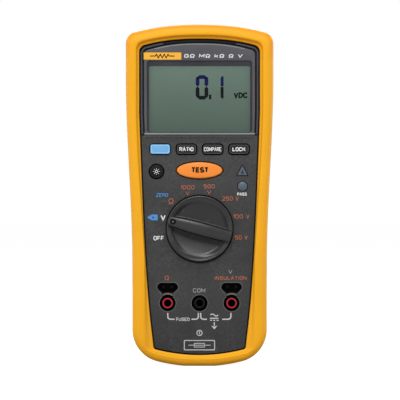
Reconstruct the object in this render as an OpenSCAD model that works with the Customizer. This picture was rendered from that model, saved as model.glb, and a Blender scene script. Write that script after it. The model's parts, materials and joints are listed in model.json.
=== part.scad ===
// Handheld insulation resistance tester in a rubber holster, upright.
// Millimetres. +Z is up, +X is to the right seen from the front, the front faces -Y.
// The origin is on the ground below the middle of the depth.

/* [Holster] */
// Height of the holster
body_h = 203; // [195:1:210]
// Width over the shoulders
body_w = 87.8; // [84:0.2:92]
// Width near the foot
base_w = 80; // [77:0.2:83]
// Width of the front opening at the display
opening_w = 71.8; // [70:0.2:74]
// Half of the flat foot's width
foot_half = 9; // [6:1:12]
// Rubber thickness round the case
rubber_t = 3.2; // [3:0.1:3.6]

/* [Case] */
// Wall thickness of the case halves
wall = 2; // [1.6:0.1:2.2]
// Height above the ground where the display section meets the key panel
display_z = 137; // [135:0.5:139]

/* [Display] */
// Visible width of the display glass
lcd_w = 59.8; // [56:0.2:62]
// Lowest visible edge of the display glass
lcd_low_z = 139.4; // [139:0.1:141]
// Highest visible edge of the display glass
lcd_high_z = 177.7; // [174:0.1:179]

/* [Keys] */
// Height of the row of four keys above the ground
key_row_z = 128.8; // [127:0.1:130]
// Width of a small key's cap
key_w = 11.9; // [10:0.1:12.4]
// Height of a small key's cap
key_h = 5.9; // [5:0.1:6.5]
// Centre spacing of the small keys
key_pitch = 15.6; // [15.2:0.1:16]
// Width of the oval test key
test_w = 27.1; // [24:0.1:28]
// Height of the oval test key
test_h = 9.6; // [8:0.1:10]
// How far a key travels when pressed
key_travel = 1; // [0.6:0.1:1]

/* [Rotary switch] */
// Height of the knob's axis above the ground
knob_z = 81.6; // [80:0.1:83]
// Radius of the knob
knob_r = 19.6; // [18:0.1:20]
// Direction in which the knob's grip points, in degrees from +X towards +Z
knob_angle = 165; // [-15:30:195]
// Widest part of the grip
grip_w = 7.2; // [5:0.1:8]

/* [Sockets] */
// Centre spacing of the 4 mm sockets
jack_pitch = 19; // [18.8:0.05:19.1]
// Height of the sockets above the ground
jack_z = 37.4; // [36:0.1:39]
// Inner radius of a socket's contact, for a 4 mm plug
jack_r = 2; // [2:0.01:2.1]

/* [Battery bay] */
// Cell diameter
cell_d = 14.4; // [13.5:0.1:14.5]
// Cell length with its nub
cell_len = 50.2; // [49.5:0.1:50.5]

/* [Tilt stand] */
// Height of the stand's pin above the ground
stand_z = 163.5; // [160:0.5:168]
// Width of the stand
stand_w = 59.4; // [50:0.2:60]
// Length of the stand below its pin
stand_len = 71; // [60:1:72]

/* [Hidden] */
$fn = 64;

// Depth stack, front to back
crest_y = -21;
lip_back_y = -16.3;
panel_y = -18.6;
shoulder_y = -16;
seat_y = -17.8;
bezel_y = -20;
flange_y = -16.3;
mat_y = flange_y + 1.3 + key_travel;
board_y = -9.8;
board_back_y = -8.2;
parting_y = 1;
box_y = 3;
case_back_y = 21.5;
pocket_y = 20.1;
back_y = 25;

case_gap = 0.3;
case_inset = rubber_t + case_gap;
inner_inset = case_inset + wall;
panel_gap = 0.9;
panel_back_y = panel_y + wall;
seat_back_y = seat_y + wall;
shoulder_back_y = shoulder_y + wall;

small_key_x = [-1.5 * key_pitch, -0.5 * key_pitch, 0.5 * key_pitch, 1.5 * key_pitch];
key_clear = 0.55;
light_key = [-25.6, 115.6];
light_key_r = 4.1;
test_z = 116.3;
hv_mark = [25.4, 116.3];
pass_mark = [25.5, 106.8];

jack_x = [-jack_pitch, 0, jack_pitch];
port_x = [-jack_pitch, jack_pitch];
panel_hole_r = 4.75;
cup_r = 6;
sleeve_r = 3.2;
contact_r = 2.7;

cell_x = [for (i = [0:3]) (i - 1.5) * (cell_d + 0.4)];
cell_y = 11.9;
cell_low_z = 24.6;
bay_half = 29.8;
bay_low_z = 18.7;
bay_high_z = 82.3;
door_half = 31.2;
door_low_z = 16.8;
door_high_z = 83.9;
lock_z = 79.6;

case_screw_at = [[33.5, 188.5], [33, 110], [25, 12.5]];
board_screw_at = [[24, 187], [29, 95], [26, 58]];

stand_pin_y = 23.4;
stand_pin_r = 0.8;
stand_t = 2.4;

rubber_yellow = [0.96, 0.69, 0.18];
case_grey = [0.24, 0.24, 0.25];
bezel_grey = [0.36, 0.36, 0.38];
dark_plastic = [0.06, 0.06, 0.07];
red_plastic = [0.86, 0.16, 0.20];
key_dark = [0.2, 0.2, 0.21];
metal = [0.78, 0.76, 0.70];

// ---------- outlines, drawn in the X-Z plane ----------

function unit(v) = v / norm(v);
function smooth01(t) = let (c = max(0, min(1, t))) c * c * (3 - 2 * c);
function turned(v, a) = [v.x * cos(a) - v.y * sin(a), v.x * sin(a) + v.y * cos(a)];

// Round the corner b between a and c with n steps
function fillet(a, b, c, r, n) =
  let (
    u = unit(a - b),
    v = unit(c - b),
    half = acos(u * v) / 2,
    o = b + unit(u + v) * r / sin(half),
    s = b + u * r / tan(half) - o,
    e = b + v * r / tan(half) - o,
    sweep = (180 - 2 * half) * sign(cross(s, e))
  )
  [for (i = [0:n]) o + turned(s, sweep * i / n)];

// Half-widths at height z
function outer_half(z) = base_w / 2 + (body_w - base_w) / 2 * smooth01((z - 60) / 112);
function opening_half(z) =
  let (d = max(0, 150 - z)) opening_w / 2 - 0.0365 * d - 9.4e-9 * pow(d, 4);
function bevel_half(z) =
  max(opening_w / 2 - 3.2, opening_half(z) + 0.5 + 1.5 * smooth01((z - 70) / 70));

// Top and bottom edges at distance x from the middle
function crown(top, sag, w, p, x) = top - sag * pow(x / w, p);
function keel(low, foot, x) = low + max(0, x * x - foot * foot) / 204;

// One side of a closed outline, from the top middle to the bottom middle. half gives its
// half-width at a height; the other values shape its top, its corners and its bottom, which is
// flat for a distance foot on each side of the middle.
function side(half, top, sag, p, r_top, r_low, low, foot) =
  let (
    n = 14,
    z_hi = top - sag - r_top,
    z_lo = low + pow(half(low), 2) / 204 + 0.85 * r_low + 0.6,
    flank = [for (i = [0:n]) let (z = z_hi + (z_lo - z_hi) * i / n) [half(z), z]],
    w = flank[0].x,
    xt = w - 1.1 * r_top - 0.5,
    xb = flank[n].x - 0.92 * r_low - 0.2,
    zt = crown(top, sag, w, p, xt),
    slope_t = sag * p / w * pow(xt / w, p - 1),
    zb = keel(low, foot, xb),
    slope_b = xb / 102,
    corner_t = [w, zt - slope_t * (w - xt)],
    corner_b = [flank[n].x, zb + slope_b * (flank[n].x - xb)]
  )
  concat(
    [for (i = [0:9]) [xt * i / 9, crown(top, sag, w, p, xt * i / 9)]],
    fillet([xt, zt], corner_t, flank[0], r_top, 6),
    [for (i = [1:n - 1]) flank[i]],
    fillet(flank[n], corner_b, [xb, zb], r_low, 10),
    [for (i = [0:8]) [xb * (8 - i) / 8, keel(low, foot, xb * (8 - i) / 8)]]
  );

function closed(right) =
  concat(right, [for (i = [len(right) - 2:-1:1]) [-right[i].x, right[i].y]]);

// Outline of the holster, moved inwards by k
function body_loop(k) = closed(side(
  function(z) outer_half(z) - k,
  body_h - k, 6.15, 2.29, max(1.2, 7 - k), max(3, 19.5 - k), k, foot_half));

// Outline of the front opening, moved inwards by k at the sides and by t at the top
function opening_loop(k, t) = closed(side(
  function(z) opening_half(z) - k,
  body_h - 8.5 - t, 4.7, 2.43, 4.5 - 0.5 * k, 1.6, 6.5 + k, 0));

// Outer edge of the bevel round the front opening
bevel_loop = closed(side(
  function(z) bevel_half(z),
  body_h - 6.1, 4.9, 2.43, 5, 3, 4.2, 0));

function ellipse_loop(w, h) = [for (i = [0:63]) [w / 2 * cos(i * 5.625), h / 2 * sin(i * 5.625)]];

// Keyed port above a socket, grown by g
function port_loop(g) = concat(
  fillet([5.95 + g, 46.4], [5.95 + g, 49.2 + g], [0, 49.2 + g], 2.2, 6),
  fillet([0, 49.2 + g], [-5.95 - g, 49.2 + g], [-5.95 - g, 46.4], 2.2, 6),
  fillet([-5.95 - g, 47], [-5.95 - g, 46], [-3 - g, 43.2], 1.5, 3),
  [[-3 - g, 43.2], [-3 - g, 41], [3 + g, 41], [3 + g, 43.2]],
  fillet([3 + g, 43.2], [5.95 + g, 46], [5.95 + g, 47], 1.5, 3)
);

module body2d(k) polygon(body_loop(k));
module opening2d(k, t) polygon(opening_loop(k, t));
module band(x0, x1, z0, z1) translate([x0, z0]) square([x1 - x0, z1 - z0]);

// Rectangle with rounded corners, centred
module rounded2d(w, h, r) {
  square([w - 2 * r, h], center = true);
  square([w, h - 2 * r], center = true);
  for (sx = [-1, 1])
    for (sz = [-1, 1])
      translate([sx * (w / 2 - r), sz * (h / 2 - r)])
        circle(r);
}

// Triangle pointing up, centred on its height
module triangle2d(w, h) polygon([[-w / 2, -h / 2], [w / 2, -h / 2], [0, h / 2]]);

// ---------- solids ----------

module slab(y0, y1) translate([0, y1, 0]) rotate([90, 0, 0]) linear_extrude(y1 - y0) children();
module rod(y0, y1, r) translate([0, y0, 0]) rotate([-90, 0, 0]) cylinder(h = y1 - y0, r = r);
module at(p) translate([p.x, 0, p.y]) children();
module both_sides() for (s = [0, 1]) mirror([s, 0, 0]) children();

// Skin through closed loops with the same number of points, each at its own depth
module loft(loops, depths) {
  n = len(loops[0]);
  m = len(loops);
  polyhedron(
    points = [for (j = [0:m - 1]) for (p = loops[j]) [p.x, depths[j], p.y]],
    faces = concat(
      [[for (i = [0:n - 1]) i]],
      [for (j = [0:m - 2]) for (i = [0:n - 1]) [j * n + i, (j + 1) * n + i, j * n + (i + 1) % n]],
      [for (j = [0:m - 2]) for (i = [0:n - 1])
        [j * n + (i + 1) % n, (j + 1) * n + i, (j + 1) * n + (i + 1) % n]],
      [[for (i = [n - 1:-1:0]) (m - 1) * n + i]]
    )
  );
}

module holster() color(rubber_yellow) difference() {
  loft(
    [for (k = [3.8, 2.4, 1.2, 0.4, 0, 0, 0.4, 1.3, 2.8]) body_loop(k)],
    [crest_y, -20.6, -19.7, -18.4, -16.8, 21.2, 22.8, 24.2, back_y]
  );
  // bevelled front opening, the space for the case, and the two windows in the back
  loft([2 * bevel_loop - opening_loop(0, 0), opening_loop(0, 0)], [crest_y - 2.2, crest_y + 2.2]);
  slab(crest_y + 2, lip_back_y + 1) opening2d(0, 0);
  slab(lip_back_y, case_back_y + case_gap) body2d(rubber_t);
  slab(case_back_y, back_y + 1)
    band(-door_half - 0.8, door_half + 0.8, door_low_z - 0.8, door_high_z + 0.8);
  slab(case_back_y, back_y + 1)
    band(-stand_w / 2 - 0.6, stand_w / 2 + 0.6, stand_z - stand_len - 0.8, stand_z + 2.5);
  translate([-35, stand_pin_y, stand_z]) rotate([0, 90, 0]) cylinder(h = 70, r = stand_pin_r + 0.05);
}

// Openings through the front face of the case
module panel_openings() {
  for (x = small_key_x)
    at([x, key_row_z]) slab(-20, -10) rounded2d(key_w + 2 * key_clear, key_h + 2 * key_clear, 2.4);
  at([0, test_z]) slab(-20, -10) polygon(ellipse_loop(test_w + 0.8, test_h + 0.8));
  at(light_key) rod(-20, -10, light_key_r + 0.45);
  at(hv_mark) slab(-20, -10) triangle2d(7.1, 6.7);
  at(pass_mark) rod(-20, -10, 2.75);
  at([0, knob_z]) rod(-20, -17, knob_r + 0.7);
  at([0, knob_z]) rod(-20, -10, 4.5);
  for (x = jack_x)
    at([x, jack_z]) rod(-20, -10, panel_hole_r);
  for (x = port_x)
    at([x, 0]) slab(-20, -10) polygon(port_loop(0));
  slab(-20, -10) band(-lcd_w / 2, lcd_w / 2, lcd_low_z, lcd_high_z);
}

module front_case() color(case_grey) difference() {
  union() {
    difference() {
      union() {
        slab(shoulder_y, parting_y) body2d(case_inset);
        slab(seat_y, shoulder_y) opening2d(panel_gap, panel_gap);
        slab(panel_y, seat_y) intersection() {
          opening2d(panel_gap, panel_gap);
          band(-50, 50, 0, display_z);
        }
        // low ridge round the display section
        slab(-18.7, seat_y) intersection() {
          difference() {
            opening2d(1.1, 1.1);
            opening2d(1.8, 1.8);
          }
          band(-50, 50, display_z, body_h);
        }
      }
      slab(shoulder_back_y, parting_y + 1) body2d(inner_inset);
      slab(panel_back_y, shoulder_back_y + 0.1) intersection() {
        opening2d(panel_gap + wall, panel_gap + wall);
        band(-50, 50, 0, display_z - 1);
      }
      slab(seat_back_y, shoulder_back_y + 0.1) opening2d(panel_gap + wall, panel_gap + wall);
    }
    at([0, knob_z]) rod(-17.4, -15, 22);
    at([0, knob_z]) rod(-15.1, -14.6, 8);
    both_sides() {
      for (p = case_screw_at)
        at(p) rod(shoulder_back_y - 0.2, parting_y, 3.1);
      for (p = board_screw_at)
        at(p) rod(panel_back_y - 0.2, board_y, 2.2);
    }
  }
  panel_openings();
  both_sides() {
    for (p = case_screw_at)
      at(p) rod(-9, parting_y + 1, 1.4);
    for (p = board_screw_at)
      at(p) rod(-13, board_y + 1, 1);
  }
}

module rear_case() color(case_grey) difference() {
  union() {
    difference() {
      slab(parting_y, case_back_y) body2d(case_inset);
      slab(parting_y - 1, case_back_y - wall) body2d(inner_inset);
    }
    slab(box_y, case_back_y - wall + 0.1)
      band(-bay_half - 2, bay_half + 2, bay_low_z - 2, bay_high_z + 2);
    both_sides()
      for (p = case_screw_at)
        at(p) rod(parting_y, case_back_y - wall + 0.1, 3.6);
  }
  // battery bay, the seat of its door and the notch for the lock
  difference() {
    slab(box_y + 1.2, case_back_y + 1) band(-bay_half, bay_half, bay_low_z, bay_high_z);
    slab(box_y, 17.5) band(-bay_half, bay_half, 76.4, 77.6);
  }
  slab(pocket_y, case_back_y + 1)
    band(-door_half - 0.3, door_half + 0.3, door_low_z - 0.3, door_high_z + 0.3);
  slab(18.4, pocket_y + 1) band(-2.6, 2.6, bay_high_z - 1, door_high_z);
  both_sides()
    for (p = case_screw_at)
      at(p) {
        rod(parting_y - 1, 20, 1.6);
        rod(19.2, case_back_y + 1, 3);
      }
}

module case_gasket() color(dark_plastic) slab(parting_y - 0.5, parting_y - 0.1) difference() {
  body2d(inner_inset + 0.05);
  body2d(inner_inset + 1.1);
  for (s = [-1, 1])
    for (p = case_screw_at)
      translate([s * p.x, p.y])
        circle(3.2);
}

module display_bezel() color(bezel_grey) difference() {
  slab(bezel_y, seat_y) intersection() {
    opening2d(2.1, 4);
    band(-50, 50, display_z + 0.3, body_h);
  }
  slab(bezel_y - 1, seat_y + 1) translate([0, (lcd_low_z + lcd_high_z) / 2 + 1.4])
    rounded2d(lcd_w + 2.6, lcd_high_z - lcd_low_z + 4.4, 1);
  // fine line under the top edge
  slab(bezel_y - 1, bezel_y + 0.4) intersection() {
    difference() {
      opening2d(2.1, 4.7);
      opening2d(2.1, 5.2);
    }
    band(-32, 32, 180, body_h);
  }
}

module display_window() color([0.75, 0.8, 0.8, 0.35])
  slab(-19.2, seat_y) translate([0, (lcd_low_z + lcd_high_z) / 2 + 1.4])
    rounded2d(lcd_w + 2.5, lcd_high_z - lcd_low_z + 4.3, 0.95);

module lcd_panel() color([0.42, 0.49, 0.44]) slab(seat_back_y, -13.9)
  band(-32.3, 32.3, lcd_low_z - 1.8, lcd_high_z + 3.4);

module lcd_backlight() color([0.92, 0.94, 0.88]) slab(-13.9, -11.4)
  band(-30.8, 30.8, lcd_low_z + 1, lcd_high_z + 0.8);

module lcd_holder() color([0.85, 0.85, 0.83]) slab(-13.9, board_y) difference() {
  band(-33, 33, 135.6, 183.4);
  band(-31, 31, lcd_low_z + 0.8, lcd_high_z + 1);
  for (z = [138.5, 180.5])
    band(-28, 28, z - 0.9, z + 0.9);
}

module zebra_strips() color([0.55, 0.25, 0.35])
  for (z = [138.5, 180.5])
    slab(-13.9, board_y) band(-27.9, 27.9, z - 0.8, z + 0.8);

module keypad_mat() color([0.5, 0.52, 0.55]) {
  difference() {
    slab(mat_y, mat_y + 1) band(-29.4, 29.4, 110.6, 134.2);
    at(hv_mark) rod(mat_y - 1, mat_y + 2, 3);
  }
  for (x = small_key_x)
    at([x, key_row_z]) rod(mat_y + 1, -10.4, 1.8);
  at([0, test_z]) rod(mat_y + 1, -10.4, 2.4);
  at(light_key) rod(mat_y + 1, -10.4, 1.8);
}

module key_domes() color(metal) {
  for (x = small_key_x)
    at([x, key_row_z]) rod(-10.1, board_y, 3);
  at([0, test_z]) rod(-10.1, board_y, 4);
  at(light_key) rod(-10.1, board_y, 3);
}

module main_board() color([0.08, 0.35, 0.18]) difference() {
  slab(board_y, board_back_y) intersection() {
    body2d(inner_inset + 0.9);
    band(-50, 50, 17, 191);
  }
  both_sides() {
    for (p = case_screw_at)
      at(p) rod(-20, 0, 3.5);
    for (p = board_screw_at)
      at(p) rod(-20, 0, 1.15);
  }
  for (x = jack_x)
    at([x, jack_z]) rod(-20, 0, sleeve_r + 0.1);
  at([0, knob_z]) rod(-20, 0, 3.6);
}

module circuit_chips() color([0.1, 0.1, 0.11]) {
  slab(board_back_y, -6.2) band(-11, 3, 136, 146);
  slab(board_back_y, -6.6) band(10, 18, 138, 144);
  slab(board_back_y, -6.4) band(-27, -17, 74, 84);
  slab(board_back_y, -6.6) band(16, 26, 62, 68);
}

module hv_transformer() color([0.72, 0.55, 0.18]) {
  slab(board_back_y, -6.7) band(-29, -5, 151, 175);
  difference() {
    slab(-6.7, 8) band(-27, -7, 153, 173);
    slab(-4, 5.2) band(-30, -4, 157, 169);
  }
  translate([-27.5, 0.6, 163]) rotate([0, 90, 0]) cylinder(h = 21, r = 4.4);
}

module relays() color([0.9, 0.55, 0.15])
  for (z = [152, 166])
    slab(board_back_y, 4) band(6, 28, z, z + 11);

module hv_capacitors() color([0.15, 0.25, 0.6])
  for (x = [-25, -13])
    translate([x, -3, 112]) cylinder(h = 20, r = 5.1);

module buzzer() color(dark_plastic) at([14, 122]) difference() {
  rod(board_back_y, -1.5, 10.5);
  rod(-2.5, 0, 1.5);
}

module battery(i) color([0.16, 0.17, 0.2]) {
  up = i % 2 == 0;
  translate([cell_x[i], cell_y, cell_low_z + (up ? 0 : 1.5)]) cylinder(h = cell_len - 1.5, r = cell_d / 2);
  translate([cell_x[i], cell_y, cell_low_z + (up ? cell_len - 1.5 : 0)]) cylinder(h = 1.5, r = 2.7);
}

// Bent leaf under each cell, and the flat strips over them
module battery_springs() color(metal)
  for (x = cell_x)
    translate([x - 4, 0, 0]) rotate([90, 0, 90]) linear_extrude(8)
      polygon([[6, bay_low_z], [17, bay_low_z], [17, bay_low_z + 0.4], [7.4, bay_low_z + 0.4],
        [14, cell_low_z - 1.4], [16, cell_low_z - 0.4], [16, cell_low_z], [13.4, cell_low_z - 1],
        [6, bay_low_z + 0.8]]);

module battery_plates() color(metal) {
  for (x = [-22.2, 7.4])
    slab(7, 16.5) band(x - 5, x + 19.8, cell_low_z + cell_len, cell_low_z + cell_len + 0.5);
  for (x = cell_x)
    slab(8, 15.5) band(x - 4, x + 4, cell_low_z + cell_len + 0.5, 76.4);
}

module across_x(r, x0, x1, y, z) translate([x0, y, z]) rotate([0, 90, 0]) cylinder(h = x1 - x0, r = r);

module fuse_body() color([0.93, 0.92, 0.88]) across_x(3, -10, 10, -3.4, 98);

module fuse_caps() color(metal) {
  across_x(3.2, -16, -10, -3.4, 98);
  across_x(3.2, 10, 16, -3.4, 98);
}

module fuse_clips() color([0.8, 0.72, 0.45])
  for (x = [-14.5, 11])
    difference() {
      slab(board_back_y, -2) band(x, x + 3.5, 93.8, 102.2);
      across_x(3.22, -20, 20, -3.4, 98);
      slab(-3.4, 0) band(x - 1, x + 4.5, 94.8, 101.2);
    }

module jack_cups() color(dark_plastic)
  for (x = jack_x)
    at([x, jack_z]) difference() {
      rod(panel_back_y, board_y, cup_r);
      rod(panel_back_y - 1, board_y - 1.1, cup_r - 1);
      rod(-20, 0, sleeve_r);
    }

module jack_sleeve(x, tint) color(tint) at([x, jack_z]) difference() {
  rod(-18.2, 2, sleeve_r);
  rod(-20, 1.4, jack_r);
  rod(-16.5, 1.4, contact_r);
}

module jack_contact(x) color(metal) at([x, jack_z]) difference() {
  rod(-16.5, 1.4, contact_r);
  rod(-17, 0.6, jack_r);
}

module probe_port(x) color(dark_plastic) at([x, 0]) difference() {
  slab(panel_back_y, -10.2) intersection() {
    polygon(port_loop(0.9));
    band(-10, 10, jack_z + cup_r + 0.1, 60);
  }
  slab(panel_back_y - 1, -11.2) intersection() {
    polygon(port_loop(0));
    band(-10, 10, jack_z + cup_r + 0.1, 60);
  }
  for (s = [-2.6, 2.6])
    at([s, 46.9]) rod(-20, 0, 0.9);
}

module probe_pins(x) color([0.85, 0.7, 0.35])
  for (s = [-2.6, 2.6])
    at([x + s, 46.9]) rod(-13.8, -10.2, 0.9);

module case_screws() color(metal) both_sides()
  for (p = case_screw_at)
    at(p) difference() {
      union() {
        rod(-8.6, 19.2, 1.4);
        rod(19.2, 20.9, 2.7);
      }
      slab(20, 22) square([4, 0.7], center = true);
      slab(20, 22) square([0.7, 4], center = true);
    }

module board_screws() color(metal) both_sides()
  for (p = board_screw_at)
    at(p) difference() {
      union() {
        rod(-12.6, board_back_y, 1);
        rod(board_back_y, -7, 2);
      }
      slab(-7.6, -6) square([3, 0.5], center = true);
    }

module hv_lens() color([0.32, 0.36, 0.4]) at(hv_mark) {
  slab(-18.9, panel_back_y) triangle2d(7, 6.6);
  rod(panel_back_y, -15.7, 5);
}

module pass_lens() color([0.37, 0.42, 0.47]) at(pass_mark) {
  intersection() {
    rod(-19.3, panel_back_y, 2.7);
    translate([0, -19.3 + 7, 0]) sphere(7);
  }
  rod(panel_back_y, -15.7, 3.4);
}

module indicator_leds() color([0.9, 0.9, 0.85])
  for (p = [hv_mark, pass_mark])
    at(p) {
      slab(-11.4, board_y) square([3, 3], center = true);
      intersection() {
        rod(-14.8, -11.4, 1.3);
        translate([0, -13.5, 0]) sphere(2.4);
      }
    }

// Turn a shape drawn with the grip along +X to the knob's direction
module at_knob() translate([0, 0, knob_z]) rotate([0, -knob_angle, 0]) children();

// Half of the grip's outline, along the knob's radius
function grip_half(t) = grip_w / 2 * (1 - 0.28 * pow(max(0, t), 2) - 0.1 * pow(min(0, t), 2));

module knob() color([0.22, 0.22, 0.23]) at_knob() difference() {
  union() {
    difference() {
      rod(-20.6, -17.3, knob_r);
      // finger hollows, deepest beside the grip
      for (s = [0, 1])
        mirror([0, 0, s]) intersection() {
          rod(-22, -17, knob_r - 1.4);
          slab(-22, -17) band(-20, 20, grip_w / 2 - 0.6, 20);
          translate([-25, -18.2 - 43, grip_w / 2 - 0.6]) rotate([0, 90, 0]) cylinder(h = 50, r = 43, $fn = 180);
        }
    }
    intersection() {
      rod(-25, -18, knob_r - 0.2);
      slab(-25, -18) polygon(concat(
        [for (i = [-10:10]) [i / 10 * knob_r, grip_half(i / 10)]],
        [for (i = [10:-1:-10]) [i / 10 * knob_r, -grip_half(i / 10)]]));
      translate([0, -25 + 73, -10]) cylinder(h = 20, r = 73, $fn = 240);
    }
    rod(-17.3, -14, 4.45);
    rod(-14, -10.6, 2.9);
  }
  at([16.3, 0]) rod(-26, -21.9, 1.8);
  // groove for the clip
  difference() {
    rod(-14.3, -13.9, 5);
    rod(-15, -13, 3.6);
  }
}

module knob_pointer() color([0.8, 0.8, 0.78]) at_knob() at([16.3, 0]) rod(-22.6, -21.9, 1.1);

module knob_clip() color(metal) at_knob() difference() {
  rod(-14.3, -14, 6);
  rod(-15, -13, 3.6);
  slab(-15, -13) band(2, 8, -1.6, 1.6);
}

module switch_rotor() color([0.88, 0.87, 0.82]) at_knob() difference() {
  union() {
    rod(-13.4, -12, 13.6);
    rod(-13.4, -10.8, 5);
    for (a = [0:90:270])
      rotate([0, a, 0]) at([13.4, 0]) rod(-13.4, -12, 0.8);
  }
  rod(-14, -10, 2.93);
}

module switch_wipers() color([0.85, 0.7, 0.35]) at_knob()
  for (a = [20, 140, 260])
    rotate([0, a, 0]) {
      slab(-12, -11.7) band(5.6, 12.6, -1.5, 1.5);
      slab(-11.7, -10.15) band(11.8, 12.6, -1.5, 1.5);
    }

module detent_ring() color([0.88, 0.87, 0.82]) at([0, knob_z]) difference() {
  rod(-15, -11.8, 17.4);
  rod(-16, -11, 14.5);
  for (a = [0:30:330])
    rotate([0, a + 15, 0]) at([14.9, 0]) rod(-16, -11, 1);
}

// A key's cap in front of the panel and the collar that keeps it in
module key_cap(front_y) {
  slab(front_y, flange_y) children(0);
  slab(flange_y, flange_y + 1) children(1);
}

module small_key(i, tint) color(tint) at([small_key_x[i], key_row_z]) key_cap(-19.9) {
  rounded2d(key_w, key_h, 1.9);
  rounded2d(key_w + 2.6, key_h + 2.6, 2);
}

module key_light() color(key_dark) at(light_key) key_cap(-19.7) {
  circle(light_key_r);
  circle(light_key_r + 1.2);
}

module key_test() color([0.97, 0.58, 0.23]) at([0, test_z]) intersection() {
  key_cap(-20.4) {
    polygon(ellipse_loop(test_w, test_h));
    polygon(ellipse_loop(test_w + 2.4, test_h + 2.4));
  }
  translate([0, -20.4 + 60, 0]) sphere(60, $fn = 180);
}

module battery_door() color(case_grey) difference() {
  union() {
    slab(pocket_y + 0.1, case_back_y) translate([0, (door_low_z + door_high_z) / 2])
      rounded2d(2 * door_half, door_high_z - door_low_z, 2);
    for (x = [-14.8, 0, 14.8])
      slab(19.3, pocket_y + 0.2) band(x - 0.6, x + 0.6, 26, 74);
  }
  at([0, lock_z]) rod(19, 22, 2.55);
  at([0, lock_z]) rod(20.9, 22, 3.6);
  // finger grooves
  for (z = [25, 28, 31])
    slab(21, 22) band(-12, 12, z, z + 1.4);
}

module door_lock() color(metal) at([0, lock_z]) difference() {
  union() {
    rod(21, 21.5, 3.5);
    rod(19.6, 21, 2.5);
    slab(18.7, 19.7) band(-1.7, 1.7, -1.7, 3.6);
    rod(18.7, 19.7, 2.5);
  }
  slab(21.1, 23) band(-2.6, 2.6, -0.5, 0.5);
}

module tilt_stand() color([0.9, 0.63, 0.15]) difference() {
  union() {
    slab(stand_pin_y - stand_t / 2, stand_pin_y + stand_t / 2)
      translate([0, stand_z - stand_len / 2]) rounded2d(stand_w, stand_len, 4);
    slab(stand_pin_y - stand_t / 2, stand_pin_y + stand_t / 2)
      band(-stand_w / 2, stand_w / 2, stand_z - 20, stand_z);
    across_x(stand_t / 2, -stand_w / 2, stand_w / 2, stand_pin_y, stand_z);
  }
  // finger cut-out at the free end, the middle window and the pin's hole
  slab(20, 27) translate([0, stand_z - stand_len]) circle(9);
  slab(20, 27) translate([0, stand_z - 28]) rounded2d(34, 26, 4);
  across_x(stand_pin_r, -40, 40, stand_pin_y, stand_z);
}

module stand_pin() color(metal) across_x(stand_pin_r, -34, 34, stand_pin_y, stand_z);

holster();
front_case();
rear_case();
case_gasket();
display_bezel();
display_window();
lcd_panel();
lcd_backlight();
lcd_holder();
zebra_strips();
keypad_mat();
key_domes();
main_board();
circuit_chips();
hv_transformer();
relays();
hv_capacitors();
buzzer();
battery(0);  // battery_1
battery(1);  // battery_2
battery(2);  // battery_3
battery(3);  // battery_4
battery_springs();
battery_plates();
fuse_body();
fuse_caps();
fuse_clips();
jack_cups();
jack_sleeve(jack_x[0], red_plastic);  // jack_left_sleeve
jack_sleeve(jack_x[1], dark_plastic);  // jack_com_sleeve
jack_sleeve(jack_x[2], red_plastic);  // jack_right_sleeve
jack_contact(jack_x[0]);  // jack_left_contact
jack_contact(jack_x[1]);  // jack_com_contact
jack_contact(jack_x[2]);  // jack_right_contact
probe_port(port_x[0]);  // probe_port_left
probe_port(port_x[1]);  // probe_port_right
probe_pins(port_x[0]);  // probe_pins_left
probe_pins(port_x[1]);  // probe_pins_right
case_screws();
board_screws();
hv_lens();
pass_lens();
indicator_leds();
knob();
knob_pointer();
knob_clip();
switch_rotor();
switch_wipers();
detent_ring();
small_key(0, [0.46, 0.71, 0.9]);  // key_shift
small_key(1, key_dark);  // key_ratio
small_key(2, key_dark);  // key_compare
small_key(3, key_dark);  // key_lock
key_light();
key_test();
battery_door();
door_lock();
tilt_stand();
stand_pin();
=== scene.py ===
import json
import math

import bmesh
import bpy
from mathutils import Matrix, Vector


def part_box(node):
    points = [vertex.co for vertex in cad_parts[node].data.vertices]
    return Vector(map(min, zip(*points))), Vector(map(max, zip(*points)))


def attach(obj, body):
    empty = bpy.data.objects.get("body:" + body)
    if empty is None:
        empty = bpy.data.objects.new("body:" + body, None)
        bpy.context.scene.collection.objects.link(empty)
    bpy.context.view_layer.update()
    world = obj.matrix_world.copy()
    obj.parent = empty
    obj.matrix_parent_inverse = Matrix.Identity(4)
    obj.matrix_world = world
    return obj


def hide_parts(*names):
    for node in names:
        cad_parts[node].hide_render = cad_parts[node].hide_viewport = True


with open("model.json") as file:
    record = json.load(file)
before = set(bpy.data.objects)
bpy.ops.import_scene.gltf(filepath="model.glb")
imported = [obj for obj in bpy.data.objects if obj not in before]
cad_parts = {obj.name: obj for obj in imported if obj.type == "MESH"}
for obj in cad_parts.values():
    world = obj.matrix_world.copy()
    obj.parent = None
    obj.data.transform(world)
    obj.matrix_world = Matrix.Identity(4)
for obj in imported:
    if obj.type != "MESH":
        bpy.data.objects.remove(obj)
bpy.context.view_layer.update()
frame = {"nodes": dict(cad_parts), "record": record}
nodes = frame["nodes"]
scene = bpy.context.scene

# Lengths below are millimetres in the frame of the CAD, and MM turns them into metres.
MM = 0.001

# Depths, front to back, as in the CAD
CREST_Y = -21.0
LIP_BACK_Y = -16.3
PANEL_Y = -18.6
SEAT_Y = -17.8
BEZEL_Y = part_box("display_bezel")[0].y / MM
CAVITY_Y = 21.8
BACK_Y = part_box("holster")[1].y / MM

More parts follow.
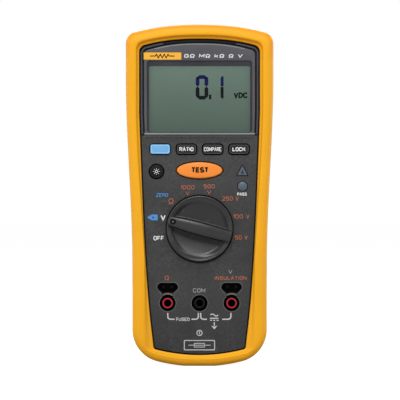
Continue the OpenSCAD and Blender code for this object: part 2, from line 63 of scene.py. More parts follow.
# Holster, display frame, knob, sockets and probe ports, as in the CAD
RUBBER = 3.2
KEEL_R = 102    # radius of the curved foot of the holster and of its opening
BACK_OPENINGS = ((64, 16, 84.7), (60.6, 91.7, 166))    # width, low and high: battery bay, stand
FRAME_FOOT_Z = 137.05
WINDOW = [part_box("display_window")[i] / MM for i in (0, 1)]
LCD_Z = 158.45
KNOB_Z = 81.6
KNOB_R = 19.6
KNOB_ANGLE = math.radians(165)
POINTER_U = 16.3
JACK_Z = 37.4
JACK_PITCH = 19.0
PORT_HALF, PORT_TOP, NECK_HALF = 5.95, 49.2, 3

# Keys: the four small ones, the round light key and the oval test key
KEY_W, KEY_H, KEY_PITCH, KEY_Z, KEY_FACE_Y = 11.9, 5.9, 15.6, 128.8, -19.9
LIGHT_X, LIGHT_Z, LIGHT_WIDE, LIGHT_FACE_Y = -25.6, 115.6, 8.2, -19.7
TEST_Z, TEST_W, TEST_H, TEST_FACE_Y = 116.3, 27.1, 9.6, -20.4


# ---------- outlines in the X-Z plane, the same curves as in the CAD ----------

def smooth01(t):
    c = min(1.0, max(0.0, t))
    return c * c * (3 - 2 * c)


# half widths of the holster, of its front opening and of the bevel's outer edge, by height
def outer_half(z):
    return 40 + 3.9 * smooth01((z - 60) / 112)


def opening_half(z):
    d = max(0.0, 150 - z)
    return 35.9 - 0.0365 * d - 9.4e-9 * d ** 4


def bevel_half(z):
    return max(32.7, opening_half(z) + 0.5 + 1.5 * smooth01((z - 70) / 70))


def keel(low, foot, x):
    """Height of the curved foot, which is flat for foot to each side of the middle."""
    return low + max(0.0, x * x - foot * foot) / (2 * KEEL_R)


def fillet(a, b, c, r, n):
    """The corner b between a and c, rounded with n steps."""
    a, b, c = Vector(a), Vector(b), Vector(c)
    u, v = (a - b).normalized(), (c - b).normalized()
    half = u.angle(v) / 2
    centre = b + (u + v).normalized() * (r / math.sin(half))
    start, end = b + u * (r / math.tan(half)) - centre, b + v * (r / math.tan(half)) - centre
    sweep = math.copysign(math.pi - 2 * half, start.x * end.y - start.y * end.x)
    points = []
    for i in range(n + 1):
        t = sweep * i / n
        points.append((centre.x + start.x * math.cos(t) - start.y * math.sin(t),
                       centre.y + start.x * math.sin(t) + start.y * math.cos(t)))
    return points


def side(half, top, sag, power, r_top, r_low, low, foot, crown_n=26, flank_n=44, low_n=26):
    """One side of a closed outline, from the top middle to the bottom middle."""
    z_hi = top - sag - r_top
    z_lo = low + half(low) ** 2 / (2 * KEEL_R) + 0.85 * r_low + 0.6
    flank = [(half(z_hi + (z_lo - z_hi) * i / flank_n), z_hi + (z_lo - z_hi) * i / flank_n)
             for i in range(flank_n + 1)]
    w, wb = flank[0][0], flank[-1][0]
    xt, xb = w - 1.1 * r_top - 0.5, wb - 0.92 * r_low - 0.2

    def crown(x):
        return top - sag * (x / w) ** power

    slope = sag * power / w * (xt / w) ** (power - 1)
    corner_t = (w, crown(xt) - slope * (w - xt))
    corner_b = (wb, keel(low, foot, xb) + xb / KEEL_R * (wb - xb))
    return (
        [(xt * i / crown_n, crown(xt * i / crown_n)) for i in range(crown_n)]
        + fillet((xt, crown(xt)), corner_t, flank[0], r_top, 14)
        + flank[1:-1]
        + fillet(flank[-1], corner_b, (xb, keel(low, foot, xb)), r_low, 28)
        + [(xb * i / low_n, keel(low, foot, xb * i / low_n)) for i in range(low_n - 1, -1, -1)]
    )


def closed(right):
    """One side of an outline and its mirror image."""
    return right + [(-x, z) for x, z in reversed(right[1:-1])]


def body_loop(k):
    """Outline of the holster, moved inwards by k."""
    return closed(side(lambda z: outer_half(z) - k, 203 - k, 6.15, 2.29,
                       max(1.2, 7 - k), max(3, 19.5 - k), k, 9))


def opening_loop(k, t):
    """Outline of the front opening, moved inwards by k at the sides and by t at the top."""
    return closed(side(lambda z: opening_half(z) - k, 194.5 - t, 4.7, 2.43,
                       4.5 - 0.5 * k, 1.6, 6.5 + k, 0))


def bevel_loop():
    """Outer edge of the bevel round the front opening."""
    return closed(side(bevel_half, 196.9, 4.9, 2.43, 5, 3, 4.2, 0))


def mixed(a, b, t):
    """The outline a share t of the way from a to b."""
    return [((1 - t) * p[0] + t * q[0], (1 - t) * p[1] + t * q[1]) for p, q in zip(a, b)]


def rounded_loop(w, h, r, n=8, cx=0.0, cz=0.0):
    """Rectangle with rounded corners, n steps to a corner."""
    points = []
    for sx, sz, start in ((1, 1, 0), (-1, 1, 90), (-1, -1, 180), (1, -1, 270)):
        for i in range(n + 1):
            a = math.radians(start + 90 * i / n)
            points.append((cx + sx * (w / 2 - r) + r * math.cos(a),
                           cz + sz * (h / 2 - r) + r * math.sin(a)))
    return points


def ellipse_loop(w, h, n=96, cx=0.0, cz=0.0):
    return [(cx + w / 2 * math.cos(2 * math.pi * i / n), cz + h / 2 * math.sin(2 * math.pi * i / n))
            for i in range(n)]


# ---------- meshes ----------

def ring(bm, loop, y):
    """Vertices along a loop, at one depth or at a depth for each point."""
    depth = y if callable(y) else (lambda x, z: y)
    return [bm.verts.new((x * MM, depth(x, z) * MM, z * MM)) for x, z in loop]


def skin(bm, a, b):
    """Faces between two closed rings of vertices."""
    n = len(a)
    for i in range(n):
        bm.faces.new((a[i], a[(i + 1) % n], b[(i + 1) % n], b[i]))


def edges_of(bm, vertices):
    """The edges round a closed ring of vertices."""
    pairs = zip(vertices, vertices[1:] + vertices[:1])
    return [bm.edges.get(pair) or bm.edges.new(pair) for pair in pairs]


def made(name, bm, body, material, sharp=35, replaces=()):
    """A finished piece from a mesh under work."""
    bmesh.ops.recalc_face_normals(bm, faces=bm.faces)
    mesh = bpy.data.meshes.new(name)
    bm.to_mesh(mesh)
    bm.free()
    mesh.polygons.foreach_set("use_smooth", [True] * len(mesh.polygons))
    mesh.set_sharp_from_angle(angle=math.radians(sharp))
    piece = bpy.data.objects.new(name, mesh)
    scene.collection.objects.link(piece)
    mesh.materials.append(material)
    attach(piece, body)
    if replaces:
        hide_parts(*replaces)
    return piece


# ---------- materials ----------

def surface(name, colour, rough, shift=0.10, blotch=45, grain=2600, relief=0.03, metal=0.0, coat=0.0,
            ior=1.46, wear_and_edge_highlight=0.0, stretch=(1, 1, 1), alpha=1.0, spread=0.10, scuff=0.0, fleck=0.35):
    """A moulded, printed or metal surface: colour drifts over blotches a few centimetres wide, the
    roughness varies with them, and a fine grain gives relief. Blotch and grain are per metre and
    relief is in millimetres. Wear lightens raised edges, as rubbed plastic and as a painted highlight;
    scuff adds fine scratches, and fleck is how strongly the grain shows in the colour."""
    material = bpy.data.materials.new(name)
    material.use_nodes = True
    tree = material.node_tree
    shader = tree.nodes["Principled BSDF"]
    shader.inputs["Metallic"].default_value = metal
    shader.inputs["IOR"].default_value = ior
    shader.inputs["Coat Weight"].default_value = coat
    shader.inputs["Coat Roughness"].default_value = 0.18
    shader.inputs["Alpha"].default_value = alpha

    def node(kind, **values):
        made_node = tree.nodes.new(kind)
        for key, value in values.items():
            made_node.inputs[key].default_value = value
        return made_node

    place = tree.nodes.new("ShaderNodeTexCoord")
    scaled = node("ShaderNodeMapping", Scale=stretch)
    tree.links.new(place.outputs["Object"], scaled.inputs["Vector"])

    def noise(scale, detail):
        texture = node("ShaderNodeTexNoise", Scale=scale, Detail=detail, Roughness=0.55)
        tree.links.new(scaled.outputs["Vector"], texture.inputs["Vector"])
        return texture.outputs["Fac"]

    def ramped(value, low, high, out_low, out_high):
        span = node("ShaderNodeMapRange")
        for i, v in enumerate((low, high, out_low, out_high)):
            span.inputs[1 + i].default_value = v
        tree.links.new(value, span.inputs[0])
        return span.outputs[0]

    def mix(factor, a, b):
        blend = tree.nodes.new("ShaderNodeMix")
        blend.data_type = "RGBA"
        tree.links.new(factor, blend.inputs[0])
        for socket, value in ((blend.inputs[6], a), (blend.inputs[7], b)):
            if isinstance(value, bpy.types.NodeSocket):
                tree.links.new(value, socket)
            else:
                socket.default_value = (*value, 1)
        return blend.outputs[2]

    cloud = noise(blotch, 3)
    grains = noise(grain, 2)
    low = tuple(c * (1 - shift) for c in colour)
    high = tuple(min(1.0, c * (1 + shift)) for c in colour)
    tint = mix(ramped(cloud, 0.3, 0.7, 0, 1), low, high)
    tint = mix(ramped(grains, 0.35, 0.65, 0, fleck), tint, tuple(c * (1 - 1.2 * shift) for c in colour))
    if wear_and_edge_highlight:
        edge = tree.nodes.new("ShaderNodeNewGeometry").outputs["Pointiness"]
        worn_and_lit = tuple(min(1.0, 0.1 + 1.25 * c) for c in colour)
        tint = mix(ramped(edge, 0.52, 0.62, 0, wear_and_edge_highlight), tint, worn_and_lit)
    tree.links.new(tint, shader.inputs["Base Color"])
    tree.links.new(ramped(cloud, 0.3, 0.7, max(0.04, rough - spread), min(1.0, rough + spread)),
                   shader.inputs["Roughness"])
    height = grains
    if scuff:
        lines = node("ShaderNodeTexNoise", Scale=1, Detail=3, Roughness=0.6)
        long = node("ShaderNodeMapping", Scale=(90, 900, 2200), Rotation=(0.2, 0.5, 0.1))
        tree.links.new(place.outputs["Object"], long.inputs["Vector"])
        tree.links.new(long.outputs["Vector"], lines.inputs["Vector"])
        marks = ramped(lines.outputs["Fac"], 0.62, 0.72, 0, scuff)
        added = tree.nodes.new("ShaderNodeMath")
        added.operation = "ADD"
        tree.links.new(grains, added.inputs[0])
        tree.links.new(marks, added.inputs[1])
        height = added.outputs[0]
    bump = node("ShaderNodeBump", Strength=0.8, Distance=relief * MM)
    tree.links.new(height, bump.inputs["Height"])
    tree.links.new(bump.outputs["Normal"], shader.inputs["Normal"])
    return material


def masked(material, colour, tests, multiply=False, every=False):
    """Another colour, or the same one multiplied by it, wherever any or every test is passed. A test is
    (axis, from, to) or (x, z, from, to) for the distance from a line along Y, in millimetres, with a
    soft step from the first to the second."""
    tree = material.node_tree
    base = tree.nodes["Principled BSDF"].inputs["Base Color"]
    place = tree.nodes.new("ShaderNodeTexCoord")
    split = tree.nodes.new("ShaderNodeSeparateXYZ")
    tree.links.new(place.outputs["Object"], split.inputs[0])
    mask = None
    for *where, start, end in tests:
        step = tree.nodes.new("ShaderNodeMapRange")
        step.inputs[1].default_value, step.inputs[2].default_value = start * MM, end * MM
        if len(where) == 1:
            tree.links.new(split.outputs["XYZ".index(where[0])], step.inputs[0])
        else:
            flat = tree.nodes.new("ShaderNodeVectorMath")
            flat.operation = "MULTIPLY"
            flat.inputs[1].default_value = (1, 0, 1)
            radius = tree.nodes.new("ShaderNodeVectorMath")
            radius.operation = "DISTANCE"
            radius.inputs[1].default_value = (where[0] * MM, 0, where[1] * MM)
            tree.links.new(place.outputs["Object"], flat.inputs[0])
            tree.links.new(flat.outputs["Vector"], radius.inputs[0])
            tree.links.new(radius.outputs["Value"], step.inputs[0])
        if mask is None:
            mask = step.outputs[0]
        else:
            either = tree.nodes.new("ShaderNodeMath")
            either.operation = "MINIMUM" if every else "MAXIMUM"
            tree.links.new(mask, either.inputs[0])
            tree.links.new(step.outputs[0], either.inputs[1])
            mask = either.outputs[0]
    blend = tree.nodes.new("ShaderNodeMix")
    blend.data_type = "RGBA"
    blend.blend_type = "MULTIPLY" if multiply else "MIX"
    tree.links.new(mask, blend.inputs[0])
    tree.links.new(base.links[0].from_socket, blend.inputs[6])
    blend.inputs[7].default_value = (*colour, 1)
    tree.links.new(blend.outputs[2], base)
    return material


looks = {
    "yellow_rubber": surface("yellow_rubber", (0.90, 0.41, 0.008), 0.50, shift=0.035, blotch=28, grain=1900,
                             relief=0.035, wear_and_edge_highlight=0.10, spread=0.07, scuff=0.4, ior=1.34),
    "stand_plastic": surface("stand_plastic", (0.84, 0.37, 0.02), 0.42, shift=0.04, relief=0.02, wear_and_edge_highlight=0.1),
    "case_plastic": surface("case_plastic", (0.038, 0.038, 0.040), 0.55, shift=0.10, grain=2300, relief=0.045,
                            wear_and_edge_highlight=0.12),
    "seal_rubber": surface("seal_rubber", (0.012, 0.012, 0.012), 0.75),
    "bezel_plastic": surface("bezel_plastic", (0.094, 0.094, 0.104), 0.45, shift=0.16, grain=1300, relief=0.04,
                             fleck=0.9, ior=1.4),
    "clear_window": surface("clear_window", (0.04, 0.05, 0.05), 0.06, shift=0.01, relief=0.001, alpha=0.04,
                            spread=0.02),
    "lcd_glass": surface("lcd_glass", (0.136, 0.203, 0.164), 0.34, shift=0.03, blotch=20, grain=5200,
                         relief=0.004, spread=0.04),
    "light_guide": surface("light_guide", (0.80, 0.83, 0.76), 0.3),
    "white_plastic": surface("white_plastic", (0.70, 0.68, 0.62), 0.45, relief=0.02),
    "strip_rubber": surface("strip_rubber", (0.28, 0.06, 0.10), 0.6, stretch=(6, 1, 1)),
    "keypad_rubber": surface("keypad_rubber", (0.22, 0.23, 0.25), 0.65),
    "spring_steel": surface("spring_steel", (0.62, 0.60, 0.56), 0.30, metal=1.0, grain=1500, relief=0.01),
    "board_green": surface("board_green", (0.02, 0.12, 0.05), 0.32, grain=700, relief=0.02, coat=0.4),
    "chip_black": surface("chip_black", (0.02, 0.02, 0.022), 0.5),
    "coil_tape": surface("coil_tape", (0.45, 0.25, 0.04), 0.3, stretch=(1, 1, 6), grain=500, relief=0.05),
    "relay_plastic": surface("relay_plastic", (0.60, 0.20, 0.03), 0.35),
    "capacitor_film": surface("capacitor_film", (0.03, 0.07, 0.32), 0.25),
    "black_plastic": surface("black_plastic", (0.004, 0.004, 0.0045), 0.6, relief=0.02, ior=1.3),
    "cell_jacket": surface("cell_jacket", (0.03, 0.03, 0.04), 0.28, coat=0.4, relief=0.005),
    "fuse_ceramic": surface("fuse_ceramic", (0.85, 0.83, 0.78), 0.5, shift=0.03),
    "brass_contact": surface("brass_contact", (0.70, 0.50, 0.18), 0.28, metal=1.0, relief=0.005),
    "red_plastic": surface("red_plastic", (0.62, 0.022, 0.038), 0.32, shift=0.06, relief=0.01),
    "nickel_contact": surface("nickel_contact", (0.66, 0.62, 0.55), 0.25, metal=1.0, relief=0.005),
    "dark_contact": surface("dark_contact", (0.035, 0.032, 0.028), 0.5, metal=1.0, relief=0.005),
    "socket_bore": surface("socket_bore", (0.030, 0.028, 0.026), 0.6, metal=1.0, relief=0.005),
    "screw_steel": surface("screw_steel", (0.50, 0.50, 0.50), 0.32, metal=1.0, grain=1800, relief=0.012,
                           scuff=0.4),
    "slate_lens": surface("slate_lens", (0.085, 0.115, 0.15), 0.5, shift=0.05, relief=0.006),
    "led_body": surface("led_body", (0.70, 0.70, 0.62), 0.25),
    # the knob's raised edges are lightened, as rubbed plastic and as a painted highlight
    "knob_plastic": surface("knob_plastic", (0.034, 0.034, 0.035), 0.35, shift=0.12, grain=2300, relief=0.05,
                            wear_and_edge_highlight=0.25),
    "white_mark": surface("white_mark", (0.42, 0.42, 0.41), 0.45),
    # the blue key's raised edges are lightened, as rubbed plastic and as a painted highlight
    "blue_key": surface("blue_key", (0.17, 0.43, 0.75), 0.45, shift=0.04, relief=0.02, wear_and_edge_highlight=0.25),
    # the dark keys are near black, partly painted shade on their rounded edges; a lighter pad carries the
    # colour of each face
    "dark_key": surface("dark_key", (0.005, 0.005, 0.0055), 0.6, shift=0.08, relief=0.02, ior=1.28),
    "orange_key": surface("orange_key", (0.92, 0.27, 0.032), 0.45, shift=0.03, relief=0.02, wear_and_edge_highlight=0.15),
}

# the case is near black in its openings, behind its panel and round the display: partly the black of its
# moulding, partly painted shade in these recesses and gaps
front = surface("case_front", (0.045, 0.045, 0.0465), 0.58, shift=0.3, grain=1000, relief=0.16, wear_and_edge_highlight=0.12,
                ior=1.36, fleck=1.0)
looks["front_case"] = masked(front, (0.003, 0.003, 0.006), [("Y", -18.5, -18.3), ("Z", 137.0, 137.15)])
# each socket's sleeve shows one coloured ring on its front face
for side_name, x, paint in (("left", -JACK_PITCH, (0.66, 0.020, 0.036)), ("com", 0, (0.005, 0.005, 0.005)),
                            ("right", JACK_PITCH, (0.66, 0.020, 0.036))):
    sleeve = f"jack_{side_name}_sleeve"
    looks[sleeve] = masked(surface(sleeve, paint, 0.45, relief=0.01, ior=1.3), (0.003, 0.003, 0.003),
                           [("Y", -18.12, -18.0), (x, JACK_Z, 2.96, 3.02), (x, JACK_Z, 2.42, 2.36)])
    # painted shade: the contact deep in each socket takes the near-black look of the bore
    looks[f"jack_{side_name}_contact"] = looks["socket_bore"]
cup_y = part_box("jack_cups")[0].y / MM
# painted highlight: the front face of each socket's cup is pale round its dark hole
looks["jack_cups"] = masked(surface("cup", (0.006, 0.006, 0.006), 0.5, ior=1.3), (0.16, 0.15, 0.15),
                            [("Y", cup_y + 0.1, cup_y + 0.02)])
looks["knob_pointer"] = surface("pointer", (0.004, 0.004, 0.004), 0.7, ior=1.2)
looks["probe_pins_left"] = looks["probe_pins_right"] = looks["dark_contact"]

# a node takes a look of its own where it has one, or that of its material slot
slot_of = {row["node"]: row["material_slot"] for row in frame["record"]["subparts"]}
for node_name, node_object in nodes.items():
    node_object.data.materials.clear()
    node_object.data.materials.append(looks[node_name if node_name in looks else slot_of[node_name]])

# painted shade: the panel darkens a little towards its lower end, and so does the display
masked(looks["front_case"], (0.80, 0.80, 0.82), [("Z", 66, 12)], multiply=True)
masked(looks["lcd_glass"], (0.078, 0.118, 0.095), [("Z", 181.0, 139.0)])
# painted shade: the rubber is darker, a deeper orange, on the bevels beside the crest of its upper end, which
# face down
masked(looks["yellow_rubber"], (0.97, 0.84, 0.70),
       [("Y", CREST_Y + 0.25, CREST_Y + 0.9), ("Y", CREST_Y + 6, CREST_Y + 3.5), ("Z", 180, 190)],
       multiply=True, every=True)
# painted shade: the blue key is dark on its rounded edge, below the edge of its face
masked(looks["blue_key"], (0.008, 0.025, 0.06), [("Y", -19.6, -19.42)])

# print colours and small moulded marks, and paints for painted highlights along edges and painted shadows in
# gaps
inks_and_painted_light = {
    "white": surface("ink_white", (0.80, 0.80, 0.80), 0.5, shift=0.04, relief=0.004),
    "grey": surface("ink_grey", (0.32, 0.32, 0.33), 0.5, shift=0.04, relief=0.004),
    "orange": surface("ink_orange", (0.42, 0.115, 0.052), 0.5, shift=0.05, relief=0.004),
    "blue": surface("ink_blue", (0.075, 0.26, 0.62), 0.5, shift=0.05, relief=0.004),
    "pale": surface("ink_pale", (0.56, 0.56, 0.58), 0.5, shift=0.04, relief=0.004),
    "lens": surface("ink_lens", (0.030, 0.042, 0.056), 0.3, shift=0.05, relief=0.004),
    "yellow": surface("ink_yellow", (0.90, 0.44, 0.03), 0.45, shift=0.03, relief=0.004),
    # black for print, and for painted shadows in gaps
    "black": surface("black_ink_and_shadow", (0.007, 0.006, 0.006), 0.6, shift=0.1, relief=0.004, ior=1.18),
    "segment": masked(surface("lcd_segment", (0.006, 0.007, 0.070), 0.6, shift=0.1, relief=0.002, ior=1.2),
                      (0.004, 0.004, 0.006), [("Z", 167.5, 165.5)]),
    "pad": surface("key_face_sheet", (0.017, 0.017, 0.019), 0.5, shift=0.1, relief=0.02, ior=1.32),
    # pale paints for rims painted on the keys as highlights
    "rim": surface("painted_rim_highlight", (0.11, 0.11, 0.11), 0.45, shift=0.1, relief=0.01),
    "blue_rim": surface("painted_blue_rim_highlight", (0.25, 0.55, 0.88), 0.4, shift=0.04, relief=0.01),
    # pale paint for the highlight painted along the lower edge of the display frame
    "sill": surface("painted_sill_highlight", (0.28, 0.29, 0.275), 0.35, shift=0.1, relief=0.01),
    # pale grey for the knob's pointer mark, and for highlights painted round the sockets and below the display
    # frame
    "edge": surface("pale_mark_and_edge_highlight", (0.19, 0.185, 0.185), 0.4, shift=0.1, relief=0.01),
    "slate": surface("ink_slate", (0.050, 0.056, 0.070), 0.4, shift=0.1, relief=0.01),
    # pale paint for the highlight painted along the top of the display frame
    "bright_edge": surface("painted_crown_highlight", (0.22, 0.23, 0.22), 0.4, shift=0.1, relief=0.01),
    "border": surface("ink_border", (0.030, 0.028, 0.036), 0.4, shift=0.1, relief=0.01),
    "lcd": looks["lcd_glass"],
}


def rounded_edges(names, width, angle=38, segments=2):
    """Small moulded radii on CAD nodes, made by modifiers so that their meshes stay as they are."""
    for name in names:
        piece = nodes[name]
        weld = piece.modifiers.new("weld", "WELD")
        weld.merge_threshold = 0.000002
        flat = piece.modifiers.new("flat", "DECIMATE")
        flat.decimate_type = "DISSOLVE"
        flat.angle_limit = math.radians(0.5)
        bevel = piece.modifiers.new("bevel", "BEVEL")
        bevel.limit_method = "ANGLE"
        bevel.angle_limit = math.radians(angle)
        bevel.width = width * MM
        bevel.segments = segments
        bevel.use_clamp_overlap = True
        weighted = piece.modifiers.new("weighted", "WEIGHTED_NORMAL")
        weighted.weight = 90


rounded_edges(["tilt_stand"], 0.45, segments=3)
rounded_edges(["battery_door"], 0.3)
rounded_edges(["door_lock", "case_screws", "jack_left_sleeve", "jack_com_sleeve", "jack_right_sleeve"], 0.12)


# ---------- holster ----------

def holster_piece():
    """The rubber holster in one closed skin, from the inside round the opening to the back."""
    bm = bmesh.new()
    inner, opening, bevel = body_loop(RUBBER), opening_loop(0, 0), bevel_loop()
    crest = body_loop(3.8)
    rings = [(inner, CAVITY_Y), (inner, 8), (inner, -6), (inner, LIP_BACK_Y), (opening, LIP_BACK_Y),
             (opening, -18.2), (opening, -18.5)]
    # a flat step beside the opening, then a steep face up to the crest
    rings += [(mixed(opening, bevel, t), y) for t, y in (
        (0.04, -18.72), (0.1, -18.85), (0.36, -19.1), (0.44, -19.22), (0.52, -19.48), (0.84, -20.45),
        (0.91, -20.68), (0.96, -20.8))]
    rings += [(mixed(bevel, crest, t), -20.86 - 0.14 * math.sin(math.pi * t))
              for t in (0.04, 0.2, 0.4, 0.6, 0.8)]
    for i in range(11):
        a = math.pi / 2 * i / 10
        rings.append((body_loop(3.8 * (1 - math.sin(a))), -20.86 + 4.3 * (1 - math.cos(a))))
    rings += [(body_loop(0), y) for y in (-14, -8, -2, 4, 10, 16, 19)]
    for i in range(9):
        a = math.pi / 2 * i / 8
        rings.append((body_loop(2.8 * (1 - math.cos(a))), 21.2 + 3.8 * math.sin(a)))
    rings.append((body_loop(3.6), BACK_Y))
    rings.append((body_loop(4.6), BACK_Y))
    rows = [ring(bm, loop, y) for loop, y in rings]
    for a, b in zip(rows, rows[1:]):
        skin(bm, a, b)
    outer_edges, inner_edges = edges_of(bm, rows[-1]), edges_of(bm, rows[0])
    for w, z0, z1 in BACK_OPENINGS:
        walls = []
        for grow, y in ((0.5, BACK_Y), (0.15, BACK_Y - 0.15), (0, BACK_Y - 0.5), (0, CAVITY_Y)):
            loop = rounded_loop(w + 2 * grow, z1 - z0 + 2 * grow, 1.2 + grow, 6, 0, (z0 + z1) / 2)
            walls.append(ring(bm, loop, y))
        for a, b in zip(walls, walls[1:]):
            skin(bm, a, b)
        outer_edges += edges_of(bm, walls[0])
        inner_edges += edges_of(bm, walls[-1])
    for edges in (outer_edges, inner_edges):
        bmesh.ops.triangle_fill(bm, use_beauty=True, edges=edges, normal=(0, 1, 0))
    made("holster_skin", bm, "case", looks["yellow_rubber"], 32, ["holster"])


holster_piece()


# ---------- display frame ----------

def first_fall(points):
    """Where an open outline passes from its right end to its left end."""
    return max(range(len(points) - 1), key=lambda i: points[i][0] - points[i + 1][0])


def frame_outline(k):
    """Outline of the display frame, moved inwards by k."""
    keep = [i for i, p in enumerate(opening_loop(3.0, 2.8)) if p[1] > FRAME_FOOT_Z]
    loop = opening_loop(3.0 + k, 2.8 + k)
    points = [loop[i] for i in keep]
    turn = first_fall(points)
    for i in (turn, turn + 1):
        points[i] = (points[i][0], FRAME_FOOT_Z + k)
    return points


def display_frame():
    bm = bmesh.new()
    wide, high = WINDOW[1].x - WINDOW[0].x, WINDOW[1].z - WINDOW[0].z
    middle = (WINDOW[0].z + WINDOW[1].z) / 2
    outer = [ring(bm, frame_outline(k), y) for k, y in (
        (0, SEAT_Y), (0, BEZEL_Y + 0.35), (0.1, BEZEL_Y + 0.14), (0.3, BEZEL_Y + 0.03), (0.55, BEZEL_Y))]
    inner = [ring(bm, rounded_loop(wide + 2 * k, high + 2 * k, 1.6 + k, 8, 0, middle), y) for k, y in (
        (0.06, SEAT_Y), (0.06, BEZEL_Y + 0.6), (0.1, BEZEL_Y + 0.25), (0.25, BEZEL_Y + 0.06),
        (0.5, BEZEL_Y))]
    for rows in (outer, inner):
        for a, b in zip(rows, rows[1:]):
            skin(bm, a, b)
    for i in (0, -1):
        edges = edges_of(bm, outer[i]) + edges_of(bm, inner[i])
        bmesh.ops.triangle_fill(bm, use_beauty=True, edges=edges, normal=(0, 1, 0))
    made("display_frame", bm, "case", looks["bezel_plastic"], 30, ["display_bezel"])


display_frame()


# ---------- rotary knob ----------

def at_knob(u, v):
    """Knob coordinates, u along the grip towards its pointer, to X and Z."""
    c, s = math.cos(KNOB_ANGLE), math.sin(KNOB_ANGLE)
    return u * c - v * s, KNOB_Z + u * s + v * c


def grip_half(t):
    """Half width of the grip, t from -1 at its far end to 1 at its pointer."""
    return 3.6 * (1 - (0.28 if t > 0 else 0.1) * t * t)


def knob_disc(bm):
    """Rim, two scooped finger hollows and the shaft behind, in one closed skin."""
    n, face_y, depth, bowl_r, grip_foot = 144, -20.3, 2.25, 43.0, 3.0

    def front(u, v):
        r = math.hypot(u, v)
        d = max(0.0, abs(v) - grip_foot)
        deep = max(0.0, depth - (bowl_r - math.sqrt(bowl_r * bowl_r - d * d)))
        return face_y + deep * smooth01((17.9 - r) / 3.1) - 0.4 * smooth01((r - 18.05) / 0.75)

    def circle(r, y=None):
        """A ring of the disc, at depth y or on its front."""
        vertices = []
        for i in range(n):
            u, v = r * math.cos(2 * math.pi * i / n), r * math.sin(2 * math.pi * i / n)
            x, z = at_knob(u, v)
            vertices.append(bm.verts.new((x * MM, (front(u, v) if y is None else y) * MM, z * MM)))
        return vertices

    radii = [0.6 + 12.0 * i / 16 for i in range(17)] + [12.9 + 0.3 * i for i in range(15)]
    radii += [17.35 + 0.12 * i for i in range(14)] + [19.1]
    rim_and_shaft = [(19.3, -20.6), (19.48, -20.46), (19.57, -20.24), (KNOB_R, -19.95), (KNOB_R, -18.6),
                     (KNOB_R, -17.3), (4.45, -17.3), (4.45, -14.3), (3.6, -14.3), (3.6, -14.0),
                     (2.9, -14.0), (2.9, -10.6)]
    rows = [circle(r) for r in radii] + [circle(r, y) for r, y in rim_and_shaft]
    for a, b in zip(rows, rows[1:]):
        skin(bm, a, b)
    bm.faces.new(rows[0])
    bm.faces.new(rows[-1])


def knob_grip(bm):
    """The arched bar across the knob, lens-shaped in plan, with a ledge along its foot."""
    end_r, arch, top_y = 19.35, 73.0, -25

    def top(u):
        return top_y + arch - math.sqrt(arch * arch - u * u)

    # lateral offset from the half width, depth below the top, or an absolute depth
    half_section = [(1.34, None, -17.6), (1.32, None, -18.4), (1.22, None, -18.72), (0.95, None, -18.98),
                    (0.6, None, -19.06), (0.36, None, -18.9), (0.1, None, -18.4), (-0.02, None, -20.4),
                    (-0.06, 1.0, None), (-0.14, 0.7, None), (-0.3, 0.48, None), (-0.6, 0.32, None),
                    (-1.1, 0.17, None), (-1.7, 0.06, None), (-2.4, 0.0, None)]
    # places along the grip, with how far the top drops there to round its two ends
    stations = [(-1 + 0.032 * (1 - math.sin(math.pi / 2 * i / 5)),
                 0.62 * (1 - math.cos(math.pi / 2 * i / 5))) for i in range(5, 0, -1)]
    stations += [(-0.968 + 1.936 * i / 48, 0.0) for i in range(49)]
    stations += [(-s, drop) for s, drop in reversed(stations[:5])]
    rows = []
    for s, drop in stations:
        w = grip_half(s)
        row = []
        for sign, section in ((-1, half_section), (1, half_section[::-1])):
            for offset, below, depth in section:
                v = sign * (w + offset)
                u = s * math.sqrt(end_r * end_r - v * v)
                y = depth if below is None else top(u) + below + drop
                x, z = at_knob(u, v)
                row.append(bm.verts.new((x * MM, y * MM, z * MM)))
        rows.append(row)
    for a, b in zip(rows, rows[1:]):
        skin(bm, a, b)
    for row in (rows[0], rows[-1]):
        n = len(row)
        for i in range(n // 2 - 1):
            bm.faces.new((row[i], row[i + 1], row[n - 2 - i], row[n - 1 - i]))


def mesh_object(name, bm):
    bmesh.ops.recalc_face_normals(bm, faces=bm.faces)
    mesh = bpy.data.meshes.new(name)
    bm.to_mesh(mesh)
    bm.free()
    thing = bpy.data.objects.new(name, mesh)
    scene.collection.objects.link(thing)
    return thing


def knob_piece():
    """The disc and the grip, with a well bored in the grip for the pointer mark."""
    grip = bmesh.new()
    knob_grip(grip)
    bar = mesh_object("bar", grip)
    hole = bmesh.new()
    cx, cz = at_knob(POINTER_U, 0)
    rows = [ring(hole, ellipse_loop(3.6, 3.6, 48, cx, cz), y) for y in (-26.0, -21.9)]
    skin(hole, *rows)
    hole.faces.new(rows[0])
    hole.faces.new(rows[1])
    cutter = mesh_object("cutter", hole)
    cut = bar.modifiers.new("cut", "BOOLEAN")
    cut.operation = "DIFFERENCE"
    cut.object = cutter
    bpy.context.view_layer.update()
    shaped = bpy.data.meshes.new_from_object(bar.evaluated_get(bpy.context.evaluated_depsgraph_get()))
    bm = bmesh.new()
    bm.from_mesh(shaped)
    for thing in (bar, cutter):
        bpy.data.objects.remove(thing)
    knob_disc(bm)
    made("knob_skin", bm, "rotary_switch", looks["knob_plastic"], 30, ["knob"])


knob_piece()


# ---------- keys ----------

